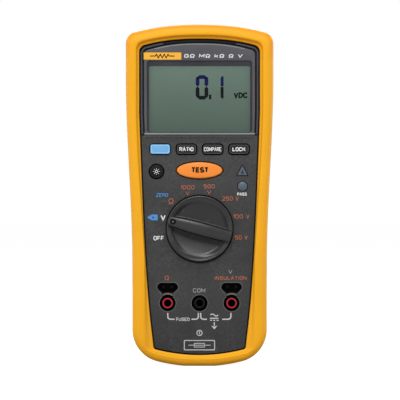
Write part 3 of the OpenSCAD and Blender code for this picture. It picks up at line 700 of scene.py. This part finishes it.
def key_piece(body, slot, outline, face, edge=0.6, collar=1.3, reach=2.6):
    """A key's cap with rounded edges, and the collar that keeps it in. outline(k) is its loop, moved
    inwards by k; face(x, z) is the depth of its face; reach is how far in the rings go."""
    bm = bmesh.new()
    rows = []
    for k in (reach, reach * 0.8, reach * 0.6, reach * 0.42, edge):
        rows.append(ring(bm, outline(k), face))
    for i in range(1, 6):
        a = math.pi / 2 * i / 5
        rows.append(ring(bm, outline(edge * (1 - math.sin(a))),
                         lambda x, z, a=a: face(x, z) + edge * (1 - math.cos(a))))
    rows.append(ring(bm, outline(0), LIP_BACK_Y))
    rows.append(ring(bm, outline(-collar), LIP_BACK_Y))
    rows.append(ring(bm, outline(-collar), LIP_BACK_Y + 1))
    for a, b in zip(rows, rows[1:]):
        skin(bm, a, b)
    bm.faces.new(rows[0])
    bm.faces.new(rows[-1])
    kind = body.removesuffix("_key")
    made(f"{body}_cap", bm, body, looks[slot], 40, [f"key_{kind}"])


# the small keys from left to right: name, material slot, corner radius, and the word with its width
# and stroke
SMALL_KEYS = [("shift", "blue_key", 1.25, None), ("ratio", "dark_key", 1.9, ("RATIO", 8.4, 0.48)),
              ("compare", "dark_key", 1.9, ("COMPARE", 10.4, 0.38)),
              ("lock", "dark_key", 1.9, ("LOCK", 7.8, 0.52))]


def key_x(index):
    return (index - 1.5) * KEY_PITCH


def light_face(x, z):
    return LIGHT_FACE_Y + 0.012 * ((x - LIGHT_X) ** 2 + (z - LIGHT_Z) ** 2)


def test_face(x, z):
    return TEST_FACE_Y + x * x / 130 + (z - TEST_Z) ** 2 / 75


for index, (kind, slot_name, corner, _) in enumerate(SMALL_KEYS):
    key_piece(f"{kind}_key", slot_name,
              lambda k: rounded_loop(KEY_W - 2 * k, KEY_H - 2 * k, max(0.25, corner - k), 8,
                                     key_x(index), KEY_Z),
              lambda x, z: (KEY_FACE_Y + 0.18 * (abs(x - key_x(index)) / (KEY_W / 2)) ** 4
                            + 0.12 * (abs(z - KEY_Z) / (KEY_H / 2)) ** 2))
key_piece("light_key", "dark_key",
          lambda k: ellipse_loop(LIGHT_WIDE - 2 * k, LIGHT_WIDE - 2 * k, 64, LIGHT_X, LIGHT_Z),
          light_face, collar=1.2, reach=3.6)
key_piece("test_key", "orange_key",
          lambda k: ellipse_loop(TEST_W - 2 * k, TEST_H - 2 * k, 112, 0, TEST_Z),
          test_face, edge=0.8, collar=1.2, reach=4.4)


# ---------- printed marks ----------

# Plain stroke letters on a grid 4 wide and 6 high: the width of each, then its strokes
BOWL = [(1, 0), (3, 0), (4, 1.2), (4, 4.8), (3, 6), (1, 6), (0, 4.8), (0, 1.2), (1, 0)]
GLYPHS = {
    " ": (1.6, []),
    "0": (4, [BOWL]),
    "1": (1.4, [[(0, 4.7), (1.4, 6), (1.4, 0)]]),
    "2": (4, [[(0, 5), (1, 6), (3, 6), (4, 5), (4, 3.9), (0, 0), (4, 0)]]),
    "5": (4, [[(4, 6), (0.3, 6), (0, 3.2), (1.2, 3.8), (3, 3.8), (4, 2.8), (4, 1.1), (3, 0), (1, 0),
               (0, 0.9)]]),
    "A": (4.2, [[(0, 0), (2.1, 6), (4.2, 0)], [(0.9, 2), (3.3, 2)]]),
    "C": (4, [[(4, 4.6), (3, 6), (1, 6), (0, 4.8), (0, 1.2), (1, 0), (3, 0), (4, 1.4)]]),
    "D": (4, [[(0, 0), (0, 6), (2.4, 6), (4, 4.4), (4, 1.6), (2.4, 0), (0, 0)]]),
    "E": (3.6, [[(3.6, 6), (0, 6), (0, 0), (3.6, 0)], [(0.2, 3.1), (3.1, 3.1)]]),
    "F": (3.4, [[(3.4, 6), (0, 6), (0, 0)], [(0.2, 3.0), (3, 3.0)]]),
    "G": (4, [[(4, 4.6), (3, 6), (1, 6), (0, 4.8), (0, 1.2), (1, 0), (3, 0), (4, 1.2), (4, 2.8),
               (2.3, 2.8)]]),
    "I": (0, [[(0, 0), (0, 6)]]),
    "K": (4, [[(0, 0), (0, 6)], [(4, 6), (0.5, 2.6)], [(1.7, 3.6), (4, 0)]]),
    "k": (3.2, [[(0, 0), (0, 6)], [(3, 4), (0.4, 1.6)], [(1.2, 2.4), (3.2, 0)]]),
    "L": (3.4, [[(0, 6), (0, 0), (3.4, 0)]]),
    "M": (4.8, [[(0, 0), (0, 6), (2.4, 1.6), (4.8, 6), (4.8, 0)]]),
    "N": (4, [[(0, 0), (0, 6), (4, 0), (4, 6)]]),
    "O": (4, [BOWL]),
    "P": (4, [[(0, 0), (0, 6), (2.8, 6), (4, 5.2), (4, 3.5), (2.8, 2.7), (0.2, 2.7)]]),
    "R": (4, [[(0, 0), (0, 6), (2.8, 6), (4, 5.2), (4, 3.5), (2.8, 2.7), (0.2, 2.7)],
              [(2.2, 2.6), (4, 0)]]),
    "S": (4, [[(4, 4.9), (3, 6), (1, 6), (0, 5), (0, 4), (1, 3.2), (3, 2.8), (4, 2), (4, 1), (3, 0),
               (1, 0), (0, 1.1)]]),
    "T": (4, [[(0, 6), (4, 6)], [(2, 5.9), (2, 0)]]),
    "U": (4, [[(0, 6), (0, 1.2), (1, 0), (3, 0), (4, 1.2), (4, 6)]]),
    "V": (4.2, [[(0, 6), (2.1, 0), (4.2, 6)]]),
    "Z": (4, [[(0, 6), (4, 6), (0, 0), (4, 0)]]),
    "Ω": (4.4, [[(0, 0), (1.5, 0), (1.5, 0.9), (0.4, 2.2), (0.1, 3.7), (0.8, 5.3), (2.2, 6), (3.6, 5.3),
                 (4.3, 3.7), (4, 2.2), (2.9, 0.9), (2.9, 0), (4.4, 0)]]),
}
LETTER_H, LETTER_GAP = 6, 1.9


class Print:
    """Flat shapes of one colour, for print and for painted highlights and shadows, gathered into one piece a
    few hundredths of a millimetre thick.
    """

    def __init__(self, name, body, slot, ink, depth, thick=0.05):
        self.name, self.body, self.slot, self.ink = name, body, slot, ink
        self.depth = depth if callable(depth) else (lambda x, z: depth)
        self.thick = thick
        self.bm = bmesh.new()

    def flat(self, points, faces):
        """A flat mesh of points (x, z) turned into a thin solid."""
        fronts, backs = ([self.bm.verts.new((x * MM, (self.depth(x, z) + shift) * MM, z * MM))
                          for x, z in points] for shift in (-self.thick, 0.03))
        border = {}
        for face in faces:
            self.bm.faces.new([fronts[i] for i in face])
            self.bm.faces.new([backs[i] for i in reversed(face)])
            for a, b in zip(face, face[1:] + face[:1]):
                key = (min(a, b), max(a, b))
                border[key] = None if key in border else (a, b)
        for pair in border.values():
            if pair:
                a, b = pair
                self.bm.faces.new((fronts[b], fronts[a], backs[a], backs[b]))

    def area(self, points):
        self.flat(points, [list(range(len(points)))])

    def line(self, points, width, loop=False):
        """A line of even width through points, with mitred corners."""
        n = len(points)
        left, right = [], []
        for i, p in enumerate(points):
            before = Vector(points[i - 1]) if i > 0 or loop else None
            after = Vector(points[(i + 1) % n]) if i < n - 1 or loop else None
            p = Vector(p)
            u = (p - before).normalized() if before is not None else (after - p).normalized()
            v = (after - p).normalized() if after is not None else u
            along = (u + v).normalized()
            across = Vector((-along.y, along.x)) * (width / 2 / max(0.35, along.dot(u)))
            left.append(tuple(p + across))
            right.append(tuple(p - across))
        count = n if loop else n - 1
        self.flat(left + right, [[i, (i + 1) % n, n + (i + 1) % n, n + i] for i in range(count)])

    def text(self, words, x, z, height, width, stroke, slant=0.0):
        """Words centred on x and z, with capitals of that height and of that whole width, in strokes of
        even width."""
        lines, pen = [], 0.0
        for letter in words:
            advance, strokes = GLYPHS[letter]
            lines += [[(pen + px, pz) for px, pz in points] for points in strokes]
            pen += advance + LETTER_GAP
        sz = (height - stroke) / LETTER_H
        sx = (width - stroke) / (pen - LETTER_GAP)
        for points in lines:
            heights = [sz * (pz - LETTER_H / 2) for px, pz in points]
            points = [(x - (width - stroke) / 2 + sx * px + slant * up, z + up)
                      for (px, pz), up in zip(points, heights)]
            if points[0] == points[-1]:
                self.line(points[:-1], stroke, loop=True)
            else:
                self.line(points, stroke)

    def done(self):
        return made(self.name, self.bm, self.body, inks_and_painted_light[self.ink], 30)


def arc(cx, cz, r, a0, a1, n):
    """Points on a circle from one angle to another, in degrees."""
    return [(cx + r * math.cos(math.radians(a0 + (a1 - a0) * i / n)),
             cz + r * math.sin(math.radians(a0 + (a1 - a0) * i / n))) for i in range(n + 1)]


white = Print("legend_white", "case", "white_mark", "white", PANEL_Y)
white.text("OFF", -24.3, 76.0, 2.6, 6.2, 0.48)
white.text("V", -21.7, 88.2, 3.3, 3.1, 0.7)
white.text("PASS", 25.2, 102.1, 1.9, 5.7, 0.36)
white.done()

orange = Print("legend_orange", "case", "orange_key", "orange", PANEL_Y)
for words, x, z, height, width in (("1000", -7.2, 106.2, 2.5, 8.2), ("V", -7.2, 102.7, 2.3, 2.5),
                                   ("500", 5.7, 106.8, 2.5, 6.4), ("V", 5.7, 103.3, 2.3, 2.5),
                                   ("250 V", 18.4, 99.5, 2.5, 9.8), ("100 V", 24.8, 88.9, 2.5, 9.7),
                                   ("50 V", 24.8, 76.4, 2.5, 7.5), ("Ω", -17.0, 98.0, 3.5, 3.3),
                                   ("Ω", -19.5, 52.4, 2.7, 2.8), ("INSULATION", 18.5, 52.3, 2.2, 19.0)):
    orange.text(words, x, z, height, width, 0.36 if height < 3 else 0.45)
orange.done()

blue = Print("legend_blue", "case", "blue_key", "blue", PANEL_Y)
blue.text("ZERO", -22.3, 101.6, 2.1, 7.0, 0.36, slant=0.15)
# tag with a hole, in the colour of the shift key
tag = [(-31.3, 88.3), (-28.4, 90.0), (-24.9, 90.0), (-24.9, 86.6), (-28.4, 86.6)]
hole = [(-28.4, 88.3), (-28.0, 88.8), (-27.2, 88.8), (-27.2, 87.8), (-28.0, 87.8)]
blue.flat(tag + hole, [[i, (i + 1) % 5, 5 + (i + 1) % 5, 5 + i] for i in range(5)])
blue.done()

# socket names
grey = Print("legend_grey", "case", "white_mark", "grey", PANEL_Y)
grey.text("COM", -0.3, 44.9, 2.5, 7.3, 0.36)
grey.text("V", 18.3, 56.0, 2.2, 2.1, 0.3)
grey.done()
# the lines that pair the sockets, and the small marks below them
pale_marks = Print("legend_pale", "case", "white_mark", "pale", PANEL_Y)
for foot_x, turn, end_x in ((-18.9, 1.6, -14.9), (-0.75, -1.6, -4.8), (0.65, 1.6, 4.3), (18.6, -1.6, 13.4)):
    pale_marks.line([(foot_x, 31.6), (foot_x, 29.3), (foot_x + 0.12 * turn, 28.6),
                     (foot_x + 0.45 * turn, 28.1), (foot_x + turn, 27.8), (end_x, 27.8)], 0.75)
pale_marks.text("FUSED", -9.9, 27.8, 2.0, 8.1, 0.36)
# alternating and direct current signs
wave = [(6.4 + 4.6 * i / 16, 30.3 + 0.6 * math.sin(2 * math.pi * i / 16)) for i in range(17)]
pale_marks.line(wave, 0.6)
pale_marks.line([(6.2, 28.4), (11.2, 28.4)], 0.6)
for x in (6.2, 8.1, 10.0):
    pale_marks.line([(x, 27.2), (x + 1.2, 27.2)], 0.6)
# arrow to the earth sign
pale_marks.line([(8.75, 26.1), (8.75, 23.9)], 0.6)
pale_marks.area([(6.9, 24.0), (8.75, 21.8), (10.6, 24.0), (8.75, 23.4)])
# a dial mark and a fuse sign in a frame
pale_marks.line(arc(-0.05, 19.7, 1.55, 0, 345, 23), 0.5, loop=True)
pale_marks.line([(-0.05, 19.0), (-0.05, 20.6)], 0.55)
pale_marks.line(rounded_loop(18.0, 5.6, 0.4, 3, -0.1, 12.4), 0.5, loop=True)
pale_marks.line(rounded_loop(6.2, 2.2, 0.3, 3, -0.1, 12.4), 0.4, loop=True)
pale_marks.line([(-6.7, 12.4), (6.5, 12.4)], 0.36)
pale_marks.done()

# header above the display
header = Print("header_tag", "case", "orange_key", "yellow", BEZEL_Y)
header.area([(-33.2, 182.0), (-10.9, 182.0), (-10.9, 186.2), (-33.2, 186.2)])
header.done()
resistor = Print("header_resistor", "case", "black_plastic", "black", BEZEL_Y - 0.05)
zigzag = [(-29.4, 184.1), (-26.2, 184.1)]
zigzag += [(-25.6 + 1.15 * i, 184.1 + (1.05 if i % 2 == 0 else -1.05)) for i in range(7)]
zigzag += [(-18.1, 184.1), (-14.8, 184.1)]
resistor.line(zigzag, 0.55)
resistor.done()
units = Print("header_units", "case", "white_mark", "white", BEZEL_Y)
units.text("GΩ MΩ kΩ Ω V", 8.2, 184.2, 2.2, 34.6, 0.45, slant=0.15)
units.done()

# face and segments of the liquid crystal display
film = Print("lcd_film", "case", "lcd_glass", "lcd", SEAT_Y, thick=0.02)
film.area(rounded_loop(61.6, 41.0, 1, 8, 0, LCD_Z))
film.done()
lcd = Print("lcd_segments", "case", "lcd_glass", "segment", SEAT_Y - 0.02)


def segment(x0, z0, x1, z1, half=1.1):
    """An upright or level display segment with pointed ends."""
    along = (Vector((x1, z1)) - Vector((x0, z0))).normalized() * half
    across = Vector((along.y, along.x))
    start, end = Vector((x0, z0)), Vector((x1, z1))
    points = [start, start + along + across, end - along + across, end, end - along - across,
              start + along - across]
    lcd.area([tuple(p) for p in points])


# a nought with filled corners, a point and a one
for x in (-1.2, 4.05):
    segment(x, 159.7, x, 166.1)
    segment(x, 166.1, x, 172.0)
for z in (171.75, 159.5):
    segment(-1.25, z, 4.1, z)
for x0, x1 in ((-1.95, -0.4), (3.3, 4.8)):
    for z in (159.6, 170.9):
        lcd.area([(x0, z), (x1, z), (x1, z + 0.8), (x0, z + 0.8)])
lcd.area([(5.6, 158.5), (6.9, 158.5), (7.0, 161.2), (5.5, 161.2)])
lcd.area([(12.5, 166.3), (14.25, 166.3), (14.25, 171.9), (13.6, 172.5), (12.5, 171.3)])
lcd.area([(12.5, 165.9), (14.25, 165.9), (14.25, 159.5), (13.6, 158.7), (12.5, 159.9)])
lcd.text("VDC", 24.4, 160.9, 3.4, 8.4, 0.85)
lcd.done()

# painted highlights: the pale lower edge of the display frame, the pale strip of case below it and the
# pale line along its top; and the ridge of the case at its sides
sill = Print("window_sill_highlight", "case", "bezel_plastic", "sill", BEZEL_Y)
sill.area([(-32.9, 137.65), (32.9, 137.65), (32.9, 138.3), (-32.9, 138.3)])
sill.done()
foot = Print("frame_foot_highlight", "case", "bezel_plastic", "edge", PANEL_Y, thick=0.04)
foot.area([(-32.6, 136.35), (32.6, 136.35), (32.9, 137.0), (-32.9, 137.0)])
foot.done()
crown = Print("frame_crown_highlight", "case", "bezel_plastic", "bright_edge", BEZEL_Y)
crown.line(sorted(p for p in opening_loop(3.5, 3.3) if p[1] > 180 and abs(p[0]) < 27), 0.55)
crown.done()
ridge = Print("display_ridge", "case", "case_plastic", "slate", -18.7, thick=0.12)
path = [p for p in opening_loop(1.45, 1.45) if p[1] > 137.6]
turn = first_fall(path)
path = path[turn + 1:] + path[:turn + 1]
for side_sign in (-1, 1):
    ridge.line([p for p in path if p[0] * side_sign > 21], 1.0)
ridge.done()

# printed border of the display window
border = Print("window_border", "case", "black_plastic", "border", WINDOW[0].y, thick=0.03)
span_x, low_z, high_z = WINDOW[1].x, WINDOW[0].z, WINDOW[1].z
outer = rounded_loop(2 * span_x, high_z - low_z, 1.6, 8, 0, (low_z + high_z) / 2)
inner = rounded_loop(60.0, 39.3, 1.1, 8, 0, LCD_Z)
n = len(outer)
border.flat(outer + inner, [[i, (i + 1) % n, n + (i + 1) % n, n + i] for i in range(n)])
border.done().visible_shadow = False

# faces and words of the keys, and pale rims painted along the edges of their faces as highlights; the faces
# are lighter than the near-black caps, whose rounded edges are painted as in shade
for index, (kind, slot_name, _, word_shape) in enumerate(SMALL_KEYS):
    cx, body = key_x(index), f"{kind}_key"
    if word_shape:
        pad = Print(f"{body}_pad", body, slot_name, "pad", KEY_FACE_Y, thick=0.03)
        pad.area(rounded_loop(10.7, 4.8, 1.2, 6, cx, KEY_Z))
        pad.done()
        word = Print(f"{body}_word", body, "white_mark", "white", KEY_FACE_Y - 0.03)
        word.text(word_shape[0], cx, KEY_Z, 2.4, *word_shape[1:])
        word.done()
        rim = Print(f"{body}_rim", body, slot_name, "rim", KEY_FACE_Y - 0.02, thick=0.03)
        rim.line(rounded_loop(10.8, 4.9, 1.2, 6, cx, KEY_Z), 0.22, loop=True)
    else:
        rim = Print(f"{body}_rim", body, slot_name, "blue_rim", KEY_FACE_Y + 0.02, thick=0.04)
        rim.line(rounded_loop(10.2, 4.3, 0.5, 6, cx, KEY_Z), 0.8, loop=True)
    rim.done()

pad = Print("light_key_pad", "light_key", "dark_key", "pad", light_face, thick=0.03)
pad.area(ellipse_loop(7.2, 7.2, 48, LIGHT_X, LIGHT_Z))
pad.done()
sun = Print("light_key_sun", "light_key", "white_mark", "white", LIGHT_FACE_Y - 0.03)
sun.line(arc(LIGHT_X, LIGHT_Z, 0.72, 0, 345, 23), 0.34, loop=True)
for i in range(8):
    c, sn = math.cos(math.pi / 4 * i), math.sin(math.pi / 4 * i)
    sun.line([(LIGHT_X + r * c, LIGHT_Z + r * sn) for r in (1.3, 1.95)], 0.26)
sun.done()
word = Print("test_key_word", "test_key", "black_plastic", "black", test_face)
word.text("TEST", 0.2, 116.5, 3.3, 10.4, 0.85)
word.done()

# dark middle of the triangular lamp lens, and a painted shadow round its edge
lens = Print("hv_lens_middle", "case", "slate_lens", "lens", -18.9, thick=0.04)
lens.area([(24.3, 114.2), (26.5, 114.2), (25.4, 116.8)])
lens.done()
edge = Print("hv_lens_painted_shadow", "case", "black_plastic", "black", -18.9, thick=0.03)
edge.line([(22.1, 113.3), (28.7, 113.3), (25.4, 119.5)], 0.45, loop=True)
edge.done()

# dark well of the knob's pointer and the small pale mark in it
cx, cz = at_knob(POINTER_U, 0)
well = Print("knob_well", "rotary_switch", "black_plastic", "black", -22.6)
well.area(ellipse_loop(3.5, 3.5, 40, cx, cz))
well.done()
dot = Print("knob_dot", "rotary_switch", "white_mark", "edge", -22.65)
dot.area([(cx - 0.6, cz - 0.4), (cx + 0.6, cz - 0.4), (cx, cz + 0.65)])
dot.done()

# pale lines painted as highlights on the moulded edges round the sockets and the probe ports, and painted
# shadows in the gaps inside them
edges = Print("socket_painted_highlights", "case", "case_plastic", "edge", PANEL_Y, thick=0.04)
dark = Print("socket_painted_shadows", "case", "black_plastic", "black", PANEL_Y, thick=0.02)


def port_line(cx, g):
    """Outline of a probe port, grown by g, from its neck up and round."""
    wide, top = PORT_HALF + g, PORT_TOP + g
    half = [(NECK_HALF + g, 42.4)]
    half += fillet((NECK_HALF + g, 43.2), (wide, 46), (wide, 47), 1.5, 4)
    half += fillet((wide, 46.1), (wide, top), (0, top), 2.45 + g, 8)
    return [(cx + x, z) for x, z in half] + [(cx - x, z) for x, z in reversed(half)]


edges.line(arc(0, JACK_Z, 5.0, 0, 357, 119), 0.22, loop=True)
dark.line(arc(0, JACK_Z, 4.82, 0, 357, 119), 0.2, loop=True)
for x in (-JACK_PITCH, JACK_PITCH):
    edges.line(arc(x, JACK_Z, 5.0, 134, 406, 90), 0.22)
    dark.line(arc(x, JACK_Z, 4.82, 134, 406, 90), 0.2)
    edges.line(port_line(x, 0.5), 0.22)
    dark.line(port_line(x, 0.2), 0.4)
# painted shadows in the gaps round the light key, the test key and the round lamp lens
dark.line(arc(LIGHT_X, LIGHT_Z, 4.6, 0, 357, 119), 0.3, loop=True)
dark.line(ellipse_loop(28.2, 10.7, 112, 0, TEST_Z), 0.4, loop=True)
low, high = (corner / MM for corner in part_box("pass_lens"))
dark.line(arc((low.x + high.x) / 2, (low.z + high.z) / 2, 3.0, 0, 357, 119), 0.4, loop=True)
edges.done()
dark.done()


# ---------- floor, light and camera ----------

MIDDLE = (0, 0, 0.1)     # what the lights are aimed at, in metres, as their places and sizes are
SEEN, SKY = 1.0, 0.20    # brightness of the studio as the camera sees it, and as light


def split_by_camera(tree, seen_value, light_value):
    """A strength for camera rays and another for all others, so that the studio looks white and yet
    lights softly."""
    ray = tree.nodes.new("ShaderNodeLightPath")
    span = tree.nodes.new("ShaderNodeMapRange")
    span.inputs[3].default_value, span.inputs[4].default_value = light_value, seen_value
    tree.links.new(ray.outputs["Is Camera Ray"], span.inputs[0])
    return span.outputs[0]


floor_mesh = bpy.data.meshes.new("floor")
floor_mesh.from_pydata([(-9, -9, 0), (9, -9, 0), (9, 9, 0), (-9, 9, 0)], [], [(0, 1, 2, 3)])
floor = bpy.data.objects.new("floor", floor_mesh)
scene.collection.objects.link(floor)
paper = surface("floor_paper", (0.30, 0.30, 0.30), 0.8, shift=0.01, blotch=6, grain=300, relief=0.02,
                spread=0.05)
paper_shader = paper.node_tree.nodes["Principled BSDF"]
paper_shader.inputs["Emission Color"].default_value = (1, 1, 1, 1)
paper_shader.inputs["Specular IOR Level"].default_value = 0.0
paper.node_tree.links.new(split_by_camera(paper.node_tree, 0.93, 0.05),
                          paper_shader.inputs["Emission Strength"])
floor_mesh.materials.append(paper)

world = bpy.data.worlds.new("studio")
scene.world = world
world.use_nodes = True
background = world.node_tree.nodes["Background"]
background.inputs["Color"].default_value = (1, 1, 1, 1)
world.node_tree.links.new(split_by_camera(world.node_tree, SEEN, SKY), background.inputs["Strength"])


def softbox(name, place, size, power):
    """A soft rectangular lamp aimed at the middle of the object."""
    lamp = bpy.data.lights.new(name, "AREA")
    lamp.shape = "RECTANGLE"
    lamp.size, lamp.size_y = size
    lamp.energy = power
    thing = bpy.data.objects.new(name, lamp)
    scene.collection.objects.link(thing)
    thing.location = place
    thing.rotation_euler = (Vector(MIDDLE) - Vector(place)).to_track_quat("-Z", "Y").to_euler()


softbox("key_light", (-0.1, -1.15, 1.0), (0.5, 0.4), 12.0)
softbox("top_light", (0.0, -0.55, 1.35), (0.7, 0.4), 3.5)
softbox("left_light", (-1.3, -0.9, 0.25), (0.6, 0.9), 7.5)
softbox("right_light", (1.3, -0.9, 0.25), (0.6, 0.9), 5.2)
softbox("left_rear_light", (-1.2, 0.7, 0.5), (0.8, 0.8), 7.0)
softbox("right_rear_light", (1.2, 0.7, 0.5), (0.8, 0.8), 9.0)
softbox("back_light", (0.1, 1.2, 0.9), (0.9, 0.9), 14.0)

# the camera looks level at the front, from about a metre and a half
camera_data = bpy.data.cameras.new("camera")
camera_data.sensor_width = 36
camera_data.lens = 227
camera_data.clip_end = 50
camera = bpy.data.objects.new("camera", camera_data)
scene.collection.objects.link(camera)
camera.location = (0.00024, -1.517, 0.09865)
camera.rotation_euler = (math.pi / 2, 0, 0)
scene.camera = camera
scene.view_settings.view_transform = "Standard"
